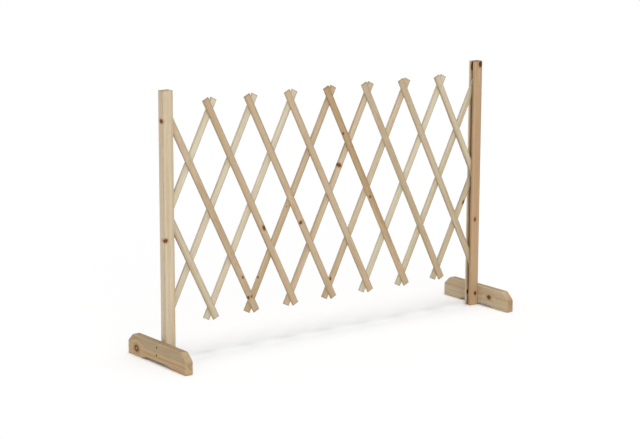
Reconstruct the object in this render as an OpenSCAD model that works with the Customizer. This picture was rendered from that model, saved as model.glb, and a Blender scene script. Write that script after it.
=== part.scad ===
// Free-standing expanding trellis: two layers of slats riveted into a scissor lattice, which slides in
// the grooves of two posts. Each post is screwed to a foot board. Millimetres, +Z up, front towards -Y,
// origin on the floor at the middle of the opened panel.

/* [Posts] */
// Height of a post
post_h = 920; // [880:5:1200]
// Width of a post along the panel
post_w = 40; // [36:1:60]
// Depth of a post from front to back
post_d = 28; // [24:1:45]
// Bevel along the upright edges of a post
post_ease = 1.5; // [0.5:0.1:3]

/* [Lattice] */
// Number of diamond columns between the two posts
bays = 8; // [4:1:10]
// Distance between neighbouring pivots along a slat
pivot_spacing = 189; // [120:1:205]
// Angle of the slats to the upright as the panel stands
open_angle = 26.25; // [6:0.25:36]
// Height of the pivot pins in the posts above the floor
pivot_h = 501; // [490:1:560]
// Depth of the pivot pins inside the inner face of a post
pivot_depth = 15; // [13:0.5:18]

/* [Slats] */
// Width of a slat
slat_w = 25; // [18:0.5:28]
// Thickness of a slat
slat_t = 6; // [4:0.5:7]
// Bevel along the long edges of a slat
slat_ease = 0.8; // [0.3:0.1:1.5]
// Length of a free slat end past its last pivot
tip_len = 38; // [20:1:60]
// Corner cut on a free slat end
tip_cut = 1.5; // [0.5:0.5:4]
// Corner cut on a slat end that runs in a post
post_end_cut = 7.5; // [5:0.5:8]

/* [Feet] */
// Length of a foot from front to back
foot_len = 360; // [280:5:480]
// Height of a foot
foot_h = 73; // [68:1:100]
// Thickness of a foot
foot_t = 28; // [20:1:40]
// Length of the sloping cut at each end of a foot
slope_len = 30; // [20:1:45]
// Drop of the sloping cut at each end of a foot
slope_drop = 27; // [18:1:36]
// Rounding where the sloping cut meets the top and the end
slope_round = 12; // [4:1:14]
// Rounding of the lower corners of a foot
heel_round = 4; // [1:0.5:8]
// Length of the pad under each end of a foot
pad_len = 75; // [50:1:90]
// Height of the arch between the pads
arch_h = 9; // [5:0.5:14]
// Length of the curve from a pad up to the arch
arch_ramp = 50; // [20:1:60]

/* [Rivets] */
// Diameter of a rivet's shank
rivet_d = 3; // [2:0.1:4]
// Diameter of a rivet's heads
rivet_head_d = 5; // [4.6:0.1:7]
// Height of a rivet's heads
rivet_head_h = 0.8; // [0.5:0.1:1.2]

/* [Pins and screws] */
// Diameter of the pivot pins in the posts
pin_d = 5; // [4:0.5:6]
// Depth of the pin's blind hole in the front wall of the post
pin_bite = 4; // [2:0.5:4.5]
// Diameter of a foot screw
screw_d = 4.5; // [3.5:0.1:5]
// Diameter of a foot screw's countersunk head
screw_head_d = 9; // [8:0.1:10]
// Height of the lower screw above the floor
screw_low = 30; // [24:1:34]
// Distance between the two screws of a foot
screw_pitch = 27; // [14:1:30]

/* [Clearances] */
// Gap between the front and the back slats
layer_gap = 0.3; // [0.2:0.05:0.6]
// Gap between a rivet head and the groove wall
groove_side_gap = 0.5; // [0.3:0.1:0.8]
// Gap between a slat end and the bottom of the groove
groove_end_gap = 1; // [0.6:0.1:1.5]
// End play of a rivet behind the back slat
rivet_play = 0.15; // [0.1:0.05:0.3]
// Radial running clearance of a slat on its rivet or pin
run_gap = 0.06; // [0.03:0.01:0.1]
// Radial clearance of a rivet, pin or screw in the piece that holds it
seat_gap = 0.02; // [0.01:0.01:0.04]
// Wood left between a screw's tip and the groove
screw_tip_gap = 1; // [0.5:0.1:2]

/* [Hidden] */
$fn = 48;
rows = 4;
mid_row = rows / 2;
overcut = 1;

// The lattice: columns run across from post to post, rows run up from the lowest pivots to the highest
bay_w = 2 * pivot_spacing * sin(open_angle);
row_h = pivot_spacing * cos(open_angle);
slat_half = layer_gap / 2 + slat_t;
slat_mid = layer_gap / 2 + slat_t / 2;
post_end_reach = norm([slat_w / 2, slat_w / 2 - post_end_cut]);

// The post: its groove takes both layers of slats and the rivet heads
groove_w = 2 * (slat_half + rivet_play + rivet_head_h + groove_side_gap);
groove_depth = pivot_depth + post_end_reach + groove_end_gap;
web_t = post_w - groove_depth;
post_inner_x = bays * bay_w / 2 - pivot_depth;
post_outer_x = post_inner_x + post_w;

// The fasteners
screw_len = foot_t + web_t - screw_tip_gap;
screw_head_h = (screw_head_d - screw_d) / 2;
recess_arm = 0.55 * screw_head_d;
recess_w = 0.2 * screw_d;
recess_depth = 0.8 * screw_head_h;
pin_front_y = -groove_w / 2 - pin_bite;

post_wood = "#cfbfa2";
slat_wood = "#c8b48f";
back_slat_wood = "#d2c4a3";
foot_wood = "#b39c78";
steel = "#a9aaa8";

SLATS = [0 : bays];

function front_name(i) = str("front_slat_", i + 1);
function back_name(i) = str("back_slat_", i + 1);
function rivets_name(i) = str("front_slat_", i + 1, "_rivets");

// Place of a column or a row of the lattice
function column_x(u) = (u - bays / 2) * bay_w;
function row_z(v) = pivot_h + (v - mid_row) * row_h;

// Column that slat i reaches at row v: lean is -1 for the front slats and +1 for the back ones
function column_of(i, v, lean) = i + lean * (v - mid_row) / 2;
function in_lattice(u) = u >= 0 && u <= bays;
function at_post(u) = u == 0 || u == bays;
function rows_of(i, lean) = [for (v = [0 : rows]) if (in_lattice(column_of(i, v, lean))) v];
function riveted_rows(i, lean) = [for (v = rows_of(i, lean)) if (!at_post(column_of(i, v, lean))) v];

// Arc of a given radius that rounds the corner b of the path a, b, c
function rounded(a, b, c, radius, steps = 6) =
    let (
        to_a = (a - b) / norm(a - b),
        to_c = (c - b) / norm(c - b),
        half = acos(to_a * to_c) / 2,
        centre = b + (to_a + to_c) / norm(to_a + to_c) * radius / sin(half),
        first = b + to_a * radius / tan(half) - centre,
        last = b + to_c * radius / tan(half) - centre,
        start = atan2(first.y, first.x),
        turn = (atan2(last.y, last.x) - start + 540) % 360 - 180
    )
    [for (k = [0 : steps]) centre + radius * [cos(start + turn * k / steps), sin(start + turn * k / steps)]];

// Rectangle centred on the origin with its corners cut off
module cut_corner_square(size_x, size_y, cut) {
    x = size_x / 2;
    y = size_y / 2;
    polygon([
        [-x + cut, -y], [x - cut, -y], [x, -y + cut], [x, y - cut],
        [x - cut, y], [-x + cut, y], [-x, y - cut], [-x, -y + cut]
    ]);
}

// Puts children on a pivot of the lattice, with their +Z towards the back
module at_pivot(u, v) {
    translate([column_x(u), 0, row_z(v)])
        rotate([-90, 0, 0])
            children();
}

// Length of slat i past its pivot at row v, and the corner cut there: a short clipped end inside a post,
// or a free tip
function end_len(i, v, lean) = at_post(column_of(i, v, lean)) ? slat_w / 2 : tip_len;
function end_cut(i, v, lean) = at_post(column_of(i, v, lean)) ? post_end_cut : tip_cut;

// Side view of slat i from end to end, wider than the slat so that it trims only the ends
module slat_trim(i, lean) {
    levels = rows_of(i, lean);
    low = levels[0];
    high = levels[len(levels) - 1];
    bottom = (low - mid_row) * pivot_spacing - end_len(i, low, lean);
    top = (high - mid_row) * pivot_spacing + end_len(i, high, lean);
    low_cut = end_cut(i, low, lean) + overcut;
    high_cut = end_cut(i, high, lean) + overcut;
    x = slat_w / 2 + overcut;
    polygon([
        [-x + low_cut, bottom], [x - low_cut, bottom], [x, bottom + low_cut], [x, top - high_cut],
        [x - high_cut, top], [-x + high_cut, top], [-x, top - high_cut], [-x, bottom + low_cut]
    ]);
}

// One slat of the lattice with its ends and bores
module slat(i, lean, rivet_gap) {
    stock_len = 2 * (rows * pivot_spacing + tip_len);
    difference() {
        translate([column_x(i), lean * slat_mid, row_z(mid_row)])
            rotate([0, lean * open_angle, 0])
                intersection() {
                    linear_extrude(height = stock_len, center = true)
                        cut_corner_square(slat_w, slat_t, slat_ease);
                    rotate([90, 0, 0])
                        linear_extrude(height = 2 * slat_t, center = true)
                            slat_trim(i, lean);
                }
        for (v = riveted_rows(i, lean))
            at_pivot(column_of(i, v, lean), v)
                cylinder(d = rivet_d + 2 * rivet_gap, h = 4 * slat_half, center = true);
        if (at_post(i))
            at_pivot(i, mid_row)
                cylinder(d = pin_d + 2 * run_gap, h = 4 * slat_half, center = true);
    }
}

// Front slat: leans to the left going up and holds its rivets
module front_slat(i) {
    color(slat_wood)
        slat(i, -1, seat_gap);
}

// Back slat: leans to the right going up and turns on the rivets
module back_slat(i) {
    color(back_slat_wood)
        slat(i, 1, run_gap);
}

// Rivet with a low domed head at the front and a clinched one at the back
module rivet() {
    shank_r = rivet_d / 2;
    head_r = rivet_head_d / 2;
    crown_r = 0.55 * head_r;
    rim_h = 0.35 * rivet_head_h;
    front = -slat_half;
    back = slat_half + rivet_play;
    rotate_extrude()
        polygon([
            [0, front - rivet_head_h], [crown_r, front - rivet_head_h], [head_r, front - rim_h],
            [head_r, front], [shank_r, front], [shank_r, back],
            [head_r, back], [head_r, back + rim_h], [crown_r, back + rivet_head_h], [0, back + rivet_head_h]
        ]);
}

// All the rivets along one front slat
module slat_rivets(i) {
    color(steel)
        for (v = riveted_rows(i, -1))
            at_pivot(column_of(i, v, -1), v)
                rivet();
}

// Pivot pin of a post: driven in from the back, blind in the front wall
module pivot_pin(side) {
    color(steel)
        at_pivot(side > 0 ? bays : 0, mid_row)
            translate([0, 0, pin_front_y])
                cylinder(d = pin_d, h = post_d / 2 - pin_front_y);
}

// U section of the right-hand post, groove towards the panel
module post_section() {
    translate([post_inner_x + post_w / 2, 0])
        difference() {
            cut_corner_square(post_w, post_d, post_ease);
            translate([-post_w / 2 - overcut, -groove_w / 2])
                square([groove_depth + overcut, groove_w]);
        }
}

// Grooved post with its pin bore and the pilot holes of the foot screws
module post(side) {
    color(post_wood)
        mirror([side < 0 ? 1 : 0, 0, 0])
            difference() {
                linear_extrude(height = post_h)
                    post_section();
                at_pivot(bays, mid_row)
                    translate([0, 0, pin_front_y])
                        cylinder(d = pin_d + 2 * seat_gap, h = post_d);
                for (z = [screw_low, screw_low + screw_pitch])
                    translate([post_outer_x - web_t - overcut, 0, z])
                        rotate([0, 90, 0])
                            cylinder(d = screw_d + 2 * seat_gap, h = web_t + 2 * overcut);
            }
}

// Side outline of a foot: sloping upper corners, eased lower ones and a flat arch between two pads
module foot_outline() {
    y = foot_len / 2;
    arch_y = y - pad_len;
    heel = [y, 0];
    end_top = [y, foot_h - slope_drop];
    top = [y - slope_len, foot_h];
    side_path = concat(
        rounded([0, 0], heel, end_top, heel_round),
        rounded(heel, end_top, top, slope_round),
        rounded(end_top, top, [0, foot_h], slope_round)
    );
    ramp_steps = 8;
    ramp = [
        for (k = [0 : ramp_steps])
            [arch_y - arch_ramp * (1 - k / ramp_steps), arch_h * (1 + cos(180 * k / ramp_steps)) / 2]
    ];
    half = concat(ramp, side_path);
    count = len(half);
    polygon(concat(half, [for (k = [count - 1 : -1 : 0]) [-half[k].x, half[k].y]]));
}

// Foot board on the outer side of a post
module foot(side) {
    color(foot_wood)
        mirror([side < 0 ? 1 : 0, 0, 0])
            difference() {
                translate([post_outer_x, 0, 0])
                    rotate([90, 0, 90])
                        linear_extrude(height = foot_t)
                            foot_outline();
                at_foot_screws() {
                    translate([0, 0, -screw_len - overcut])
                        cylinder(d = screw_d + 2 * seat_gap, h = screw_len + overcut);
                    translate([0, 0, -screw_head_h])
                        cylinder(d1 = screw_d, d2 = screw_head_d, h = screw_head_h);
                }
            }
}

// Puts children on both screws of the right-hand foot, with their +Z out of its outer face
module at_foot_screws() {
    for (z = [screw_low, screw_low + screw_pitch])
        translate([post_outer_x + foot_t, 0, z])
            rotate([0, 90, 0])
                children();
}

// Countersunk wood screw with a cross recess, pointing down from its head's face
module wood_screw() {
    tip_h = screw_d;
    difference() {
        rotate_extrude()
            polygon([
                [0, 0], [screw_head_d / 2, 0], [screw_d / 2, -screw_head_h],
                [screw_d / 2, tip_h - screw_len], [0, -screw_len]
            ]);
        for (turn = [0, 90])
            rotate(turn)
                cube([recess_arm, recess_w, 2 * recess_depth], center = true);
    }
}

// The two screws that hold a foot to its post
module foot_screws(side) {
    color(steel)
        mirror([side < 0 ? 1 : 0, 0, 0])
            at_foot_screws()
                wood_screw();
}

post(-1);  // left_post
post(1);  // right_post
foot(-1);  // left_foot
foot(1);  // right_foot
foot_screws(-1);  // left_foot_screws
foot_screws(1);  // right_foot_screws
pivot_pin(-1);  // left_pivot_pin
pivot_pin(1);  // right_pivot_pin
for (i = SLATS) {
    front_slat(i);
    back_slat(i);
    slat_rivets(i);
}
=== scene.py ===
"""Looks of a free-standing expanding trellis: a riveted lattice of pine slats between two posts on feet."""

import logging
import math
import random
from dataclasses import dataclass, replace
from enum import Enum
from functools import cached_property
from typing import Any, Iterable, Sequence

import bmesh
import bpy
from bmesh.types import BMEdge, BMesh, BMFace, BMVert
from mathutils import Euler, Matrix, Vector


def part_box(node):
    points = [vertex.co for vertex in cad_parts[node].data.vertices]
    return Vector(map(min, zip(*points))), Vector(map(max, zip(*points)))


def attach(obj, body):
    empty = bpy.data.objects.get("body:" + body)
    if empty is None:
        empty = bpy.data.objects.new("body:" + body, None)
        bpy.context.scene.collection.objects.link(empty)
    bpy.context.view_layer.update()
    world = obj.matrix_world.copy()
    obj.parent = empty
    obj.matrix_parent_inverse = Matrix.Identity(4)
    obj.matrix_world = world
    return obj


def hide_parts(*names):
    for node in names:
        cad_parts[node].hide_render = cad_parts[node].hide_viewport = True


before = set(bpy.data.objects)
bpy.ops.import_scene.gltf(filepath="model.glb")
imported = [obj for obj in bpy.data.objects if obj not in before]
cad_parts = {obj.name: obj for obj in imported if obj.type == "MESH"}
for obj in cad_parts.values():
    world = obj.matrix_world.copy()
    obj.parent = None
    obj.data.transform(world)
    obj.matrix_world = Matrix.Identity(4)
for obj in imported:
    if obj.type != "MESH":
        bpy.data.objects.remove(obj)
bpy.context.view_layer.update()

LOG = logging.getLogger("trellis")
MM = 0.001
X, Y, Z = range(3)
# Rounded edges: darkened as wear on most boards, brightened as a painted highlight on the feet.
EDGE_WEAR_AND_HIGHLIGHT = "edge_wear"
END_GRAIN = "end_grain"
FRESH_CUT = "fresh_cut"
# Level tops that get painted shade.
TOP_SHADE = "top_soil"

Color = tuple[float, float, float]
Outline = list[tuple[float, float]]
Socket = bpy.types.NodeSocket


class NodeWord(Enum):
    """A choice that is spelled out in the names of nodes."""

    @property
    def word(self) -> str:
        """The choice, as the names spell it."""
        return self.name.lower()


class Layer(NodeWord):
    """Layer of the lattice, with the way its slats lean going up."""

    FRONT = -1
    BACK = 1


class Side(NodeWord):
    """End of the panel, with its direction along the panel."""

    LEFT = -1
    RIGHT = 1


class BoardAxis(Enum):
    """Axis of a board: its first and second side, and its grain."""

    ACROSS = 0
    THROUGH = 1
    ALONG = 2


class KnotTone(Enum):
    """Look of a knot, as the colours of its core and of its rim."""

    TIGHT = ((0.36, 0.22, 0.115), (0.075, 0.032, 0.014))
    RED = ((0.175, 0.068, 0.016), (0.095, 0.032, 0.007))
    DEAD = ((0.088, 0.028, 0.007), (0.048, 0.014, 0.003))


class GrainNoise(Enum):
    """Noise in a board: features per metre on its three axes, the pattern's number and its octaves."""

    DRIFT = ((14, 14, 2.2), 0.0, 2)
    CANALS = ((1500, 1500, 45), 0.1, 0)
    PATCHES = ((120, 120, 30), 0.2, 2)
    FIBRES = ((900, 900, 14), 0.3, 3)
    STREAKS = ((70, 70, 1.6), 0.5, 3)
    RAGGED = ((260, 260, 200), 0.7, 2)
    FAINT_RINGS = ((55, 55, 5), 0.9, 2)


@dataclass(frozen=True)
class Board:
    """A length of timber, with its own axes: across, through and along the grain.

    Attributes:
        centre: Middle of the board in the frame.
        turn: Turn from the frame's axes to the board's.
        pith: Place of the log's core, across and through, from the board's middle.
        heart: Radius of the darker heartwood round the core.
        seed: Number that makes this board's grain differ from the next one's.
        taper: How much further from the core the board lies for each metre along it.
    """

    centre: Vector
    turn: Euler
    pith: tuple[float, float]
    heart: float
    seed: int
    taper: float = 0.0


@dataclass(frozen=True)
class Knot:
    """A branch that was cut through when the board was sawn, with its lengths in millimetres.

    Attributes:
        spot: A point on the branch, on the board's own axes.
        branch: Board axis that the branch ran along.
        radius: Radius of the branch.
        stretch: Length of the knot along the grain over its width.
        depth: How far the branch reaches into the board from that point.
        tone: Look of the branch, from sound, with a pale core, to dead and dark.
    """

    spot: tuple[float, float, float]
    branch: BoardAxis
    radius: float
    stretch: float = 1.3
    depth: float = 200
    tone: KnotTone = KnotTone.DEAD


@dataclass(frozen=True)
class Fade:
    """A smooth change from one result to another over a range of values.

    Attributes:
        start: Value at which the change starts.
        end: Value at which it ends.
        first: Result at the start and before it.
        last: Result at the end and after it.
    """

    start: float
    end: float
    first: float = 0.0
    last: float = 1.0


class NodeSheet:
    """Adds and links the nodes of a material or of the world."""

    def __init__(self, owner: bpy.types.Material | bpy.types.World) -> None:
        """Starts an empty sheet.

        Args:
            owner: Material or world that the nodes belong to.
        """
        owner.use_nodes = True
        self.tree = owner.node_tree
        self.tree.nodes.clear()

    def add(self, kind: str, inputs: dict[Any, Any] | None = None, **settings: Any) -> bpy.types.Node:
        """Adds one node.

        Args:
            kind: Blender's name of the node type.
            inputs: Sockets to link or plain values to set, by the name or number of the input.
            **settings: Properties of the node.

        Returns:
            The new node.
        """
        node = self.tree.nodes.new(kind)
        for name, value in settings.items():
            setattr(node, name, value)
        for key, value in (inputs or {}).items():
            if isinstance(value, Socket):
                self.tree.links.new(value, node.inputs[key])
            else:
                node.inputs[key].default_value = value
        return node

    def maths(self, operation: str, *values: Any) -> Socket:
        """Returns the result of a Math node on sockets or numbers."""
        return self.add("ShaderNodeMath", dict(enumerate(values)), operation=operation).outputs[0]

    def vector(self, operation: str, *values: Any) -> bpy.types.Node:
        """Returns a Vector Math node on sockets or vectors."""
        return self.add("ShaderNodeVectorMath", dict(enumerate(values)), operation=operation)

    def fade(self, value: Socket, fade: Fade) -> Socket:
        """Returns the result of a fade at a value."""
        inputs = {
            "Value": value, "From Min": fade.start, "From Max": fade.end,
            "To Min": fade.first, "To Max": fade.last,
        }
        return self.add("ShaderNodeMapRange", inputs, interpolation_type="SMOOTHSTEP").outputs["Result"]

    def blend(self, share: Any, base: Any, other: Any, mode: str = "MIX") -> Socket:
        """Blends two colours.

        Args:
            share: Share of the other colour, from 0 to 1.
            base: Colour at a share of 0.
            other: Colour that is laid over it.
            mode: Blend mode of the Mix node.

        Returns:
            The blended colour.
        """
        values = {0: share, 6: base, 7: other}
        inputs = {key: (*value, 1.0) if isinstance(value, tuple) else value for key, value in values.items()}
        return self.add("ShaderNodeMix", inputs, data_type="RGBA", blend_type=mode).outputs[2]

    def tint(self, share: Any, color: Socket, tint: Any) -> Socket:
        """Returns a colour multiplied by a tint, to a share from 0 to 1."""
        return self.blend(share, color, tint, "MULTIPLY")

    def noise(self, place: Socket, stretch: Sequence[float], seed: float, detail: float) -> Socket:
        """Adds a noise pattern.

        Args:
            place: Coordinates of the surface.
            stretch: Features per metre along each axis.
            seed: Number that picks the pattern.
            detail: Octaves of finer noise.

        Returns:
            The noise, about 0.5 on average.
        """
        scaled = self.vector("MULTIPLY", place, tuple(stretch)).outputs[0]
        inputs = {"Vector": scaled, "W": seed, "Scale": 1.0, "Detail": detail}
        return self.add("ShaderNodeTexNoise", inputs, noise_dimensions="4D").outputs["Fac"]

    def attribute(self, name: str) -> Socket:
        """Returns a number that is stored on the mesh."""
        return self.add("ShaderNodeAttribute", attribute_name=name).outputs["Fac"]

    def surface(self, inputs: dict[str, Any]) -> None:
        """Ends the sheet of a material with its surface."""
        shader = self.add("ShaderNodeBsdfPrincipled", inputs)
        self.add("ShaderNodeOutputMaterial", {"Surface": shader.outputs[0]})


class PineSheet(NodeSheet):
    """The nodes of one pine board, laid out on the board's own axes."""

    NOISE_MEAN = 0.5
    RING_UNEVENNESS = 2.2
    RING_NOISE_SCALE = 0.37
    RING_STOPS = ((1.0, 0.1), (0.4, 0.75), (0.2, 1.0))
    STREAKS = Fade(0.38, 0.68, 0.0, 0.9)
    FIBRES = Fade(0.25, 0.75, 0.86, 1.1)
    CANALS = Fade(0.66, 0.76, 0.0, 0.6)
    GLOSS = Fade(0.3, 0.7, 0.72, 0.55)
    KNOT_RAGGED = 0.5
    KNOT_SWELL = 1.1
    KNOT_RING_RATE = 22
    KNOT_RINGS = Fade(-1, 1, 0.0, 0.35)
    KNOT_RIM = Fade(0.35, 0.65)
    KNOT_EDGE = Fade(0.85, 1.15, 1.0, 0.0)
    KNOT_HALO = Fade(0.9, 2.3, 1.0, 0.0)
    PATCHES = Fade(0.3, 0.6, 0.45, 1.0)
    # Patches of the painted shade on level tops.
    SOIL = Fade(0.45, 1.0, 0.8, 1.0)
    EDGE_POWER = 1.4
    LATE_HEIGHT = 0.6
    RELIEF = {"Strength": 0.35, "Distance": 0.25 * MM}

    def __init__(self, owner: bpy.types.Material, finish: "PineFinish", board: Board) -> None:
        """Starts the sheet with the place on the board, in metres from its middle.

        Args:
            owner: Material that the nodes belong to.
            finish: Finish of the board.
            board: The board that the grain runs in.
        """
        super().__init__(owner)
        self.finish = finish
        self.board = board
        inputs = {
            "Vector": self.add("ShaderNodeTexCoord").outputs["Object"],
            "Location": board.centre,
            "Rotation": board.turn,
        }
        self.place = self.add("ShaderNodeMapping", inputs, vector_type="TEXTURE").outputs[0]

    def grain(self, noise: GrainNoise) -> Socket:
        """Returns one of the board's noise patterns."""
        stretch, number, detail = noise.value
        return self.noise(self.place, stretch, self.board.seed + number, detail)

    def sway(self, noise: GrainNoise) -> Socket:
        """Returns one of the board's noise patterns, about 0 on average."""
        return self.maths("SUBTRACT", self.grain(noise), self.NOISE_MEAN)

    def knot_distance(self, knot: Knot) -> Socket:
        """Measures how far a place lies from a knot's middle.

        Args:
            knot: The knot.

        Returns:
            The distance, in radii of the knot, with a ragged outline.
        """
        radius = knot.radius * MM
        reach = [1 / radius, 1 / radius, 1 / (radius * knot.stretch)]
        reach[knot.branch.value] = 1 / (knot.depth * MM)
        spot = tuple(part * MM for part in knot.spot)
        offset = self.vector("SUBTRACT", self.place, spot).outputs[0]
        scaled = self.vector("MULTIPLY", offset, tuple(reach)).outputs[0]
        distance = self.vector("LENGTH", scaled).outputs["Value"]
        return self.maths("MULTIPLY_ADD", self.sway(GrainNoise.RAGGED), self.KNOT_RAGGED, distance)

    def core_distance(self, spots: Iterable[tuple[Knot, Socket]]) -> Socket:
        """Measures how far a place lay from the log's core as the tree grew, bending round the knots.

        Args:
            spots: The knots, each with the distance from it.

        Returns:
            The distance in metres.
        """
        across, through = self.board.pith
        flat = {"Vector": self.place, "Location": (-across, -through, 0), "Scale": (1, 1, 0)}
        from_core = self.add("ShaderNodeMapping", flat).outputs[0]
        radius = self.vector("LENGTH", from_core).outputs["Value"]
        radius = self.maths("MULTIPLY_ADD", self.sway(GrainNoise.DRIFT), self.finish.wander * 2, radius)
        if self.board.taper:
            along = self.add("ShaderNodeSeparateXYZ", {0: self.place}).outputs["Z"]
            radius = self.maths("MULTIPLY_ADD", along, self.board.taper, radius)
        for knot, distance in spots:
            swell = Fade(0.7, 4.5, first=knot.radius * MM * self.KNOT_SWELL, last=0.0)
            radius = self.maths("ADD", radius, self.fade(distance, swell))
        return radius

    def growth_rings(self, radius: Socket) -> Socket:
        """Draws the growth rings round the log's core.

        Args:
            radius: Distance from the core.

        Returns:
            Share of late wood, from 0 to 1.
        """
        count = self.maths("MULTIPLY", radius, 1 / self.finish.ring_width)
        years = {"W": count, "Scale": self.RING_NOISE_SCALE, "Detail": 1.0}
        uneven = self.add("ShaderNodeTexNoise", years, noise_dimensions="1D")
        count = self.maths("MULTIPLY_ADD", uneven.outputs["Fac"], self.RING_UNEVENNESS, count)
        ramp = self.add("ShaderNodeValToRGB", {"Fac": self.maths("FRACT", count)})
        stops = ramp.color_ramp.elements
        stops[0].color = (0, 0, 0, 1)
        stops[1].color = (0, 0, 0, 1)
        for share, level in self.RING_STOPS:
            stops.new(1 - share * self.finish.late_share).color = (level, level, level, 1)
        faint = self.fade(self.grain(GrainNoise.FAINT_RINGS), Fade(0.3, 0.7, first=self.finish.ring_floor))
        return self.maths("MULTIPLY", ramp.outputs["Color"], faint)

    def wood_color(self, base: Socket, late: Socket, fibre: Socket) -> Socket:
        """Mixes the colour of clean wood.

        Args:
            base: Colour of the early wood.
            late: Share of late wood.
            fibre: Noise of the fibres.

        Returns:
            The colour.
        """
        streaks = self.fade(self.grain(GrainNoise.STREAKS), self.STREAKS)
        color = self.tint(streaks, base, self.finish.streak_tint)
        color = self.tint(self.maths("MULTIPLY", late, self.finish.ring_depth), color, self.finish.late_tint)
        color = self.tint(1.0, color, self.fade(fibre, self.FIBRES))
        canals = self.fade(self.grain(GrainNoise.CANALS), self.CANALS)
        return self.tint(canals, color, self.finish.late_tint)

    def knot_color(self, color: Socket, tone: KnotTone, distance: Socket) -> Socket:
        """Lays a knot over the wood: a warm halo, a dark rim and a ringed core.

        Args:
            color: Colour of the wood.
            tone: Look of the knot.
            distance: Distance from the knot, in radii.

        Returns:
            The colour with the knot.
        """
        middle, rim = tone.value
        rings = self.maths("SINE", self.maths("MULTIPLY", distance, self.KNOT_RING_RATE))
        core = self.blend(self.fade(rings, self.KNOT_RINGS), middle, rim)
        core = self.blend(self.fade(distance, self.KNOT_RIM), core, rim)
        color = self.tint(self.fade(distance, self.KNOT_HALO), color, self.finish.knot_halo)
        return self.blend(self.fade(distance, self.KNOT_EDGE), color, core)

    def wear(self, color: Socket) -> Socket:
        """Greys the sawn ends, darkens the level tops as painted shade, tints the rounded edges and pales the
        fresh cuts.

        Args:
            color: Colour of the clean wood.

        Returns:
            The worn colour.
        """
        color = self.tint(self.attribute(FRESH_CUT), color, self.finish.fresh_tint)
        color = self.tint(self.attribute(END_GRAIN), color, self.finish.end_tint)
        patches = self.fade(self.grain(GrainNoise.PATCHES), self.PATCHES)
        # Painted shade: the level tops are darkened in patches.
        shaded_top = self.maths("MULTIPLY", self.attribute(TOP_SHADE), self.fade(patches, self.SOIL))
        color = self.tint(shaded_top, color, self.finish.soil_tint)
        # Rounded edges: darker wear where the tint is below 1, a painted highlight where it is above 1.
        edge = self.maths("POWER", self.attribute(EDGE_WEAR_AND_HIGHLIGHT), self.EDGE_POWER)
        return self.tint(self.maths("MULTIPLY", edge, patches), color, self.finish.edge_tint)

    def relief(self, late: Socket, fibre: Socket) -> Socket:
        """Returns the surface's direction, with late wood and fibres raised a little."""
        height = self.maths("MULTIPLY_ADD", late, self.LATE_HEIGHT, fibre)
        return self.add("ShaderNodeBump", {**self.RELIEF, "Height": height}).outputs[0]


@dataclass(frozen=True)
class PineFinish:
    """Planed, untreated pine: growth rings, broad streaks, fibres, knots, grey ends, tinted edges (darker
    wear on most boards, a painted highlight where the tint is above 1) and painted shade on level tops.

    Attributes:
        slot: Material slot of the record.
        sapwood: Pale wood of the log's outside.
        heartwood: Warm wood near the log's core.
        ring_width: Mean width of a growth ring.
        ring_depth: How strongly the rings show, from 0 to 1.
        late_share: Share of a growth ring that is dark late wood.
        ring_floor: Strength of the rings where they are faintest, from 0 to 1.
        wander: How far the rings wander along the board.
        heart_fade: How far the heartwood fades to either side of its edge.
        late_tint: Tint of late wood and resin canals.
        streak_tint: Tint of the broad streaks.
        knot_halo: Tint of the wood round a knot.
        end_tint: Tint of the sawn ends.
        edge_tint: Tint of the rounded edges: darker wear below 1, a painted highlight above 1.
        fresh_tint: Tint of fresh cuts.
        soil_tint: Tint of the painted shade on level tops.
        shine: Strength of the reflections.
    """

    slot: str
    sapwood: Color
    heartwood: Color
    ring_width: float = 2.4 * MM
    ring_depth: float = 0.55
    late_share: float = 0.5
    ring_floor: float = 0.35
    wander: float = 5 * MM
    heart_fade: float = 3 * MM
    late_tint: Color = (0.80, 0.67, 0.53)
    streak_tint: Color = (0.91, 0.85, 0.78)
    knot_halo: Color = (0.80, 0.58, 0.40)
    end_tint: Color = (0.72, 0.66, 0.60)
    edge_tint: Color = (0.78, 0.75, 0.70)
    fresh_tint: Color = (1.30, 1.32, 1.34)
    soil_tint: Color = (0.70, 0.70, 0.68)
    shine: float = 0.3

    def material(self, name: str, board: Board, knots: Iterable[Knot]) -> bpy.types.Material:
        """Makes the finish of one board.

        Args:
            name: Name of the material.
            board: The board that the grain runs in.
            knots: Knots of the board.

        Returns:
            The material.
        """
        material = bpy.data.materials.new(name)
        sheet = PineSheet(material, self, board)
        spots = [(knot, sheet.knot_distance(knot)) for knot in knots]
        radius = sheet.core_distance(spots)
        late = sheet.growth_rings(radius)
        fibre = sheet.grain(GrainNoise.FIBRES)
        edge = Fade(board.heart - self.heart_fade, board.heart + self.heart_fade, first=1.0, last=0.0)
        base = sheet.blend(sheet.fade(radius, edge), self.sapwood, self.heartwood)
        color = sheet.wood_color(base, late, fibre)
        for knot, distance in spots:
            color = sheet.knot_color(color, knot.tone, distance)
        sheet.surface({
            "Base Color": sheet.wear(color),
            "Roughness": sheet.fade(fibre, sheet.GLOSS),
            "Normal": sheet.relief(late, fibre),
            "Specular IOR Level": self.shine,
        })
        return material


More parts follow.
